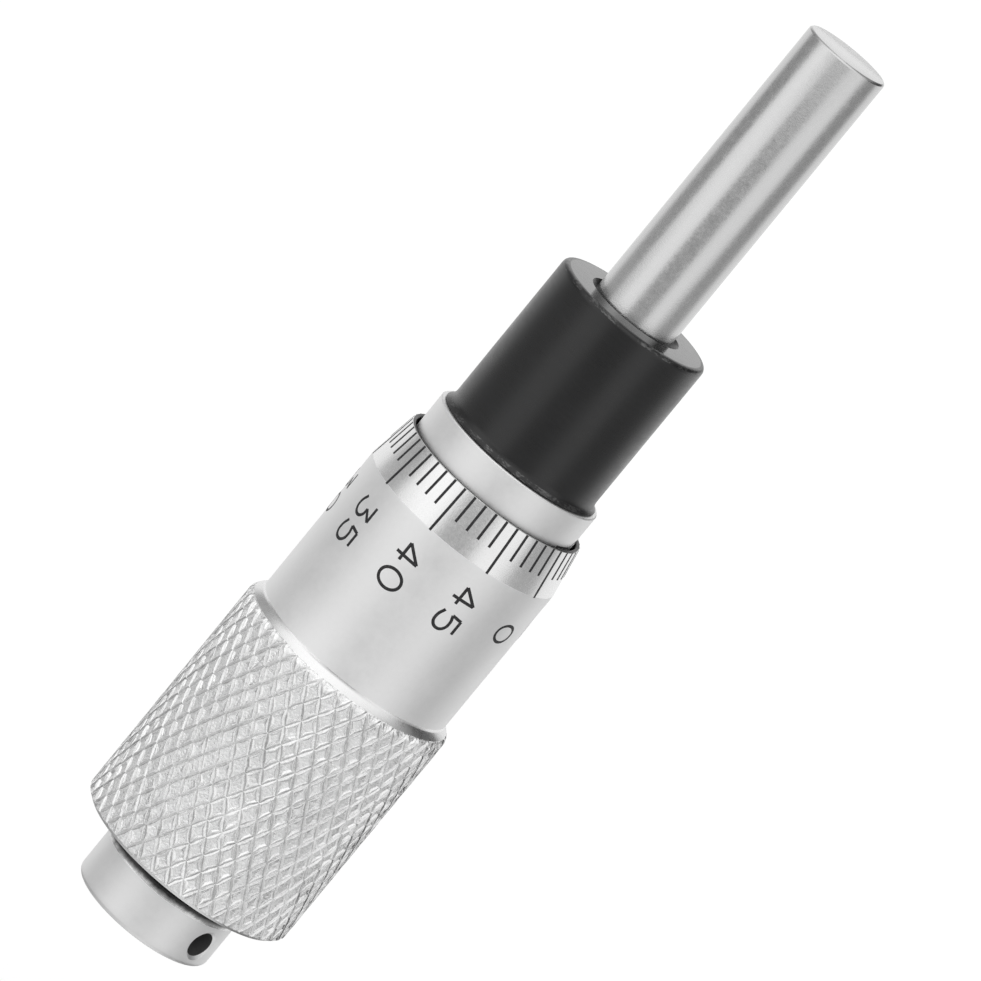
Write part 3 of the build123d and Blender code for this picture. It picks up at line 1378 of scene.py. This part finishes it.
    def _dish(
        self, sheet: BMesh, crests: Sequence[BMFace], half_width: float, half_height: float
    ) -> list[BMFace]:
        """Press the crests in by uneven amounts, the same on both sides of the seam.

        Args:
            sheet: the flat knurl.
            crests: the flat tops.
            half_width: half a diamond, round the axis.
            half_height: half a diamond, along it.

        Returns:
            The walls of the dishes.
        """
        groups: dict[float, list[tuple[BMFace, Vector]]] = {}
        for face in crests:
            middle = face.calc_center_median()
            column = round(middle.x / half_width) % (2 * self.knurl_count)
            row = round((middle.y - self.knurl_bottom) / half_height)
            dice = random.Random(self.dish_seed * column + row)
            depth = dice.choice(self.dish_depths)
            sideways = dice.uniform(*self.dish_shift_around)
            shift = Vector((sideways, dice.uniform(*self.dish_shift_along), 0))
            groups.setdefault(depth, []).append((face, shift))
        walls = []
        for depth, pressed in groups.items():
            faces = [face for face, _ in pressed]
            walls += self._inset(sheet, faces, depth / self.dish_slope, -depth)
            floors = bmesh.ops.poke(sheet, faces=faces, offset=-self.dish_floor)
            for vert, (_, shift) in zip(floors["verts"], pressed):
                vert.co += shift
        return walls

    @staticmethod
    def _inset(sheet: BMesh, faces: Sequence[BMFace], width: float, rise: float) -> list[BMFace]:
        """Inset faces one by one and move them out of the sheet or into it.

        Args:
            sheet: the flat knurl.
            faces: the faces, which stay the inner ones.
            width: how wide the new rims are.
            rise: how far the faces move out, or in where it is under zero.

        Returns:
            The rims.
        """
        rims = bmesh.ops.inset_individual(sheet, faces=faces, thickness=width, depth=rise)
        return rims["faces"]

    @staticmethod
    def _dress(faces: Sequence[BMFace], finish: Finish) -> None:
        """Give faces a finish by its number.

        Args:
            faces: the faces.
            finish: one of the thimble's.
        """
        number = THIMBLE_FINISHES.index(finish)
        for face in faces:
            face.material_index = number

    @staticmethod
    def _cut(sheet: BMesh, point: Sequence[float], normal: Sequence[float], drop: bool) -> None:
        """Cut the sheet along a plane.

        Args:
            sheet: the flat knurl.
            point: a point on the plane.
            normal: the way that the plane looks.
            drop: whether what lies beyond it goes.
        """
        bmesh.ops.bisect_plane(
            sheet,
            geom=sheet.verts[:] + sheet.edges[:] + sheet.faces[:],
            dist=WELD,
            plane_co=point,
            plane_no=normal,
            clear_outer=drop,
        )

    def _scale(self) -> BMesh:
        """Engrave the divisions and their numbers.

        Returns:
            The engraving, in millimetres.
        """
        engraver = Engraver(self.outline, places=2)
        turn = FULL_TURN / self.divisions
        top = self.front - self.line_inset
        for value in range(self.divisions):
            azimuth = self.first_azimuth + (value - self.first_value) * turn
            length = self.short_line if value % self.numbered else self.long_line
            engraver.line(azimuth, top, self.front - length, self.line_width)
            if value % self.numbered == 0:
                engraver.text(str(value), azimuth, self.bevel_end - self.numeral_start)
        return engraver.bm


@dataclass
class ThimbleCap:
    """The headed screw that locks the thimble, with its pin-spanner hole."""

    radius: float = 4.3
    top: float = -29.07
    foot: float = -33.02
    foot_fillet: float = 0.36
    foot_rings: int = 7
    top_fillet: float = 1.08
    top_rings: int = 12
    side_rings: int = 14
    edge_step: float = 0.03
    edge_height: float = 0.08
    shank_radius: float = 1.5
    shank_top: float = -23.57
    hole_radius: float = 0.8
    hole_depth: float = 2.4
    hole_height: float = 1.5
    hole_angle: float = math.radians(-34.0)
    hole_chamfer: float = 0.1
    countersink_length: float = 2.0
    drill_sides: int = 56
    bore_margin: float = 0.01
    bore_reach: tuple[float, float] = (0.02, 2.5)
    steps: int = 192

    def build(self) -> Object:
        """Turn the cap and drill its spanner hole.

        Returns:
            The finished piece.
        """
        bm = turn_profile(self._profile(), self.steps)
        bm = carve(bm, [self._drill(0.0), self._drill(self.hole_chamfer)])
        finishes = [SATIN_CHROME, SHADED_BORE, JOINT_PAINTED_SHADE]
        for face in bm.faces:
            face.material_index = finishes.index(self._finish_of(face))
        piece = finish_mesh(bm, "spanner_cap", finishes, sharp_degrees=12.0)
        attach(piece, Body.THIMBLE.value)
        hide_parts("thimble_cap")
        return piece

    @property
    def side_top(self) -> float:
        """Height where the straight side ends under the rounded top."""
        return self.top - self.top_fillet - self.edge_height

    @property
    def rim_sag(self) -> float:
        """How far the hole's rim falls back behind the cap's outermost line."""
        return self.radius - math.sqrt(self.radius**2 - self.hole_radius**2)

    def _finish_of(self, face: BMFace) -> Finish:
        """Choose between the hole's painted shade, the painted shade under the rim and the plain
        chrome.

        Args:
            face: a face of the cap.

        Returns:
            The finish.
        """
        middle = face.calc_center_median()
        axis = around(1.0, self.hole_angle + QUARTER_TURN, 0.0)
        offset = middle - self._hole_point(self.radius)
        depth = -offset.dot(axis)
        away = (offset + axis * depth).length
        near, far = self.bore_reach
        if away < self.hole_radius + self.bore_margin and near < depth < far:
            # The hole's dull lining is the painted shade inside it.
            return SHADED_BORE
        # The cap's top under the thimble's rim takes the painted shade.
        return JOINT_PAINTED_SHADE if middle.z > self.side_top else SATIN_CHROME

    def _hole_point(self, out: float) -> Vector:
        """Give the point on the hole's axis at a distance from the cap's axis."""
        return around(out, self.hole_angle + QUARTER_TURN, self.foot + self.hole_height)

    def _profile(self) -> list[RingPoint]:
        """Draw the half section, with rounded edges and even rings up the side.

        Returns:
            Its points, from the shank's end to the foot.
        """
        shoulder = self.radius - self.edge_step
        points = [(0.0, self.shank_top), (self.shank_radius, self.shank_top)]
        points.append((self.shank_radius, self.top))
        points += rounded_corner(shoulder, self.top, self.top_fillet, self.top_rings)
        straight = self.side_top - (self.foot + self.foot_fillet)
        for index in range(self.side_rings + 1):
            points.append((self.radius, self.side_top - straight * index / self.side_rings))
        for index in range(1, self.foot_rings + 1):
            turn = QUARTER_TURN * index / self.foot_rings
            inwards = self.foot_fillet * (1 - math.cos(turn))
            upwards = self.foot_fillet * (1 - math.sin(turn))
            points.append((self.radius - inwards, self.foot + upwards))
        return [*points, (0.0, self.foot)]

    def _drill(self, chamfer: float) -> BMesh:
        """Make the drill for the spanner hole, or the countersink that breaks its edge.

        Args:
            chamfer: the countersink's width, or zero for the drill.

        Returns:
            The cutter, in millimetres.
        """
        length, spread, start = self.hole_depth + OVERRUN, 0.0, self.hole_depth
        if chamfer:
            length, spread = self.countersink_length, self.countersink_length
            start = self.rim_sag + chamfer
        drill = bmesh.new()
        bmesh.ops.create_cone(
            drill,
            cap_ends=True,
            segments=self.drill_sides,
            radius1=self.hole_radius,
            radius2=self.hole_radius + spread,
            depth=length,
        )
        turn_mesh(drill, QUARTER_TURN, "Y")
        turn_mesh(drill, self.hole_angle, "Z")
        middle = self._hole_point(self.radius - start + length / 2)
        bmesh.ops.translate(drill, vec=middle, verts=drill.verts)
        return drill


# Stage, light and camera


@dataclass(frozen=True)
class Layer:
    """One layer of the surroundings.

    It starts to show at the first height and is full at the second, both given as the sine
    of the elevation. Its bands are azimuths, in degrees rightwards from the camera's side,
    with their brightness.
    """

    start: float
    full: float
    bands: tuple[tuple[float, float], ...]


# The table under the head, which only faces that look down show.
TABLE = Layer(-1.0, -1.0, ((-180, 0.7), (-20, 0.6), (40, 1.0), (150, 0.95), (180, 0.7)))
# What lies just over the table.
LOW = Layer(
    -0.88,
    -0.74,
    ((-180, 0.4), (-144, 0.3), (-106, 0.26), (-72, 0.4), (-47, 0.6), (-20, 0.5),
     (10, 0.7), (62, 0.65), (94, 0.1), (152, 0.08), (180, 0.4)),
)
# Upright metal shows this layer as broad bands.
LEVEL = Layer(
    -0.5,
    -0.35,
    ((-180, 1.0), (-126, 1.0), (-108, 0.58), (-62, 0.56), (-47, 1.15), (-22, 1.15),
     (-10, 0.54), (24, 0.54), (35, 1.1), (54, 1.1), (65, 0.5), (106, 0.52), (126, 1.0),
     (180, 1.0)),
)
# The bevel shows the layer at the camera's own height.
EYE = Layer(
    -0.14,
    0.0,
    ((-180, 1.0), (-124, 1.0), (-114, 0.38), (-80, 0.38), (-70, 1.25), (-22, 1.25),
     (-13, 0.42), (20, 0.42), (30, 1.1), (66, 1.1), (78, 0.4), (110, 0.4), (124, 1.0),
     (180, 1.0)),
)
# Faces that look up a little show this one, and those that look up more the top one.
RAISED = Layer(
    0.15,
    0.22,
    ((-180, 1.15), (-165, 1.0), (-150, 0.6), (-136, 0.35), (-106, 0.4), (-84, 0.65),
     (-66, 1.2), (-48, 1.3), (-34, 0.9), (-14, 0.85), (0, 0.9), (45, 0.95), (62, 1.05),
     (80, 0.75), (94, 0.1), (158, 0.06), (168, 0.95), (180, 1.15)),
)
TOP = Layer(
    0.5,
    0.7,
    ((-180, 1.1), (-150, 0.8), (-135, 0.5), (-110, 0.5), (-96, 1.15), (-50, 1.3),
     (0, 1.25), (60, 1.1), (82, 0.95), (100, 0.4), (142, 0.35), (180, 1.1)),
)


@dataclass
class Studio:
    """A pale floor and the soft surroundings of a product table."""

    foot_height: float
    clearance_mm: float = 13.0
    floor_size: float = 6.0
    peak: float = 2.0

    def build(self) -> None:
        """Make the floor and the surroundings."""
        self._floor()
        self._world()

    def _floor(self) -> None:
        """Lay the floor under the cap, a full travel lower so that the thimble can retract."""
        height = self.foot_height - self.clearance_mm * MM
        bm = bmesh.new()
        bmesh.ops.create_grid(bm, x_segments=1, y_segments=1, size=self.floor_size / 2)
        bmesh.ops.translate(bm, vec=(0, 0, height), verts=bm.verts)
        floor = place_mesh(bm, "studio_floor")
        # The metal mirrors the painted surroundings alone, as a small part on a tall stand does.
        floor.visible_glossy = False
        floor.data.materials.append(WhiteTable().build())

    def _world(self) -> None:
        """Paint the surroundings layer by layer."""
        world = bpy.data.worlds.new("studio")
        bpy.context.scene.world = world
        world.use_nodes = True
        tree = world.node_tree
        tree.nodes.clear()
        place = add_node(tree, "TexCoord").outputs["Generated"]
        parts = add_node(tree, "SeparateXYZ", {"Vector": place}).outputs
        towards = add_node(tree, "Math", {0: parts["Y"], 1: -1.0}, operation="MULTIPLY")
        sides = {0: parts["X"], 1: towards.outputs[0]}
        angle = add_node(tree, "Math", sides, operation="ARCTAN2").outputs[0]
        span = {"Value": angle, "From Min": -math.pi, "From Max": math.pi}
        turn = add_node(tree, "MapRange", span).outputs["Result"]
        light = self._bands(tree, turn, TABLE)
        for layer in (LOW, LEVEL, EYE, RAISED, TOP):
            span = {"Value": parts["Z"], "From Min": layer.start, "From Max": layer.full}
            share = add_node(tree, "MapRange", span, interpolation_type="SMOOTHSTEP")
            both = {6: light, 7: self._bands(tree, turn, layer)}
            both["Factor"] = share.outputs["Result"]
            light = add_node(tree, "Mix", both, data_type="RGBA").outputs[2]
        shine = add_node(tree, "Background", {"Color": light, "Strength": self.peak})
        add_node(tree, "OutputWorld", {"Surface": shine.outputs[0]})

    def _bands(self, tree: NodeTree, turn: NodeSocket, layer: Layer) -> NodeSocket:
        """Add a layer's brightness by azimuth, as a share of the peak.

        Args:
            tree: the world's tree.
            turn: the azimuth, from 0 to 1 over a full turn.
            layer: the layer.

        Returns:
            The layer's colour.
        """
        ramp = add_node(tree, "ValToRGB", {"Fac": turn})
        stops = ramp.color_ramp.elements
        stops.remove(stops[-1])
        for index, (azimuth, brightness) in enumerate(layer.bands):
            where = (azimuth + 180) / 360
            stop = stops.new(where) if index else stops[0]
            stop.position = where
            stop.color = (brightness / self.peak,) * 3 + (1,)
        return ramp.outputs["Color"]


@dataclass
class ProductCamera:
    """The photograph's camera: near level, a little above, and rolled to the left."""

    distance: float = 0.44
    elevation: float = math.radians(13.0)
    roll: float = math.radians(39.4)
    target_height: float = -0.00253
    lens: float = 303.4

    def build(self) -> None:
        """Set up the camera and make it the scene's own."""
        data = bpy.data.cameras.new("product_camera")
        data.lens = self.lens
        data.sensor_width = 36.0
        data.clip_start = 0.01
        data.clip_end = 50.0
        camera = bpy.data.objects.new("product_camera", data)
        bpy.context.scene.collection.objects.link(camera)
        offset = Vector((0, -math.cos(self.elevation), math.sin(self.elevation)))
        camera.location = Vector((0, 0, self.target_height)) + offset * self.distance
        upright = (-offset).to_track_quat("-Z", "Y").to_matrix().to_4x4()
        rolled = upright @ Matrix.Rotation(self.roll, 4, "Z")
        camera.matrix_world = Matrix.Translation(camera.location) @ rolled
        bpy.context.scene.camera = camera


def main() -> None:
    """Build the pieces, the stage and the camera, and report each piece."""
    logging.basicConfig(level=logging.INFO, format="%(name)s: %(message)s")
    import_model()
    bpy.context.scene.view_settings.view_transform = "Standard"
    parts = [Stem(), Sleeve(), AdjustingNut(), Spindle(), Thimble(), ThimbleCap()]
    for part in parts:
        built = part.build()
        for piece in built if isinstance(built, list) else [built]:
            LOG.info("%s: %d faces", piece.name, len(piece.data.polygons))
    Studio(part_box("thimble_cap")[0].z).build()
    ProductCamera().build()


if __name__ == "__main__":
    main()
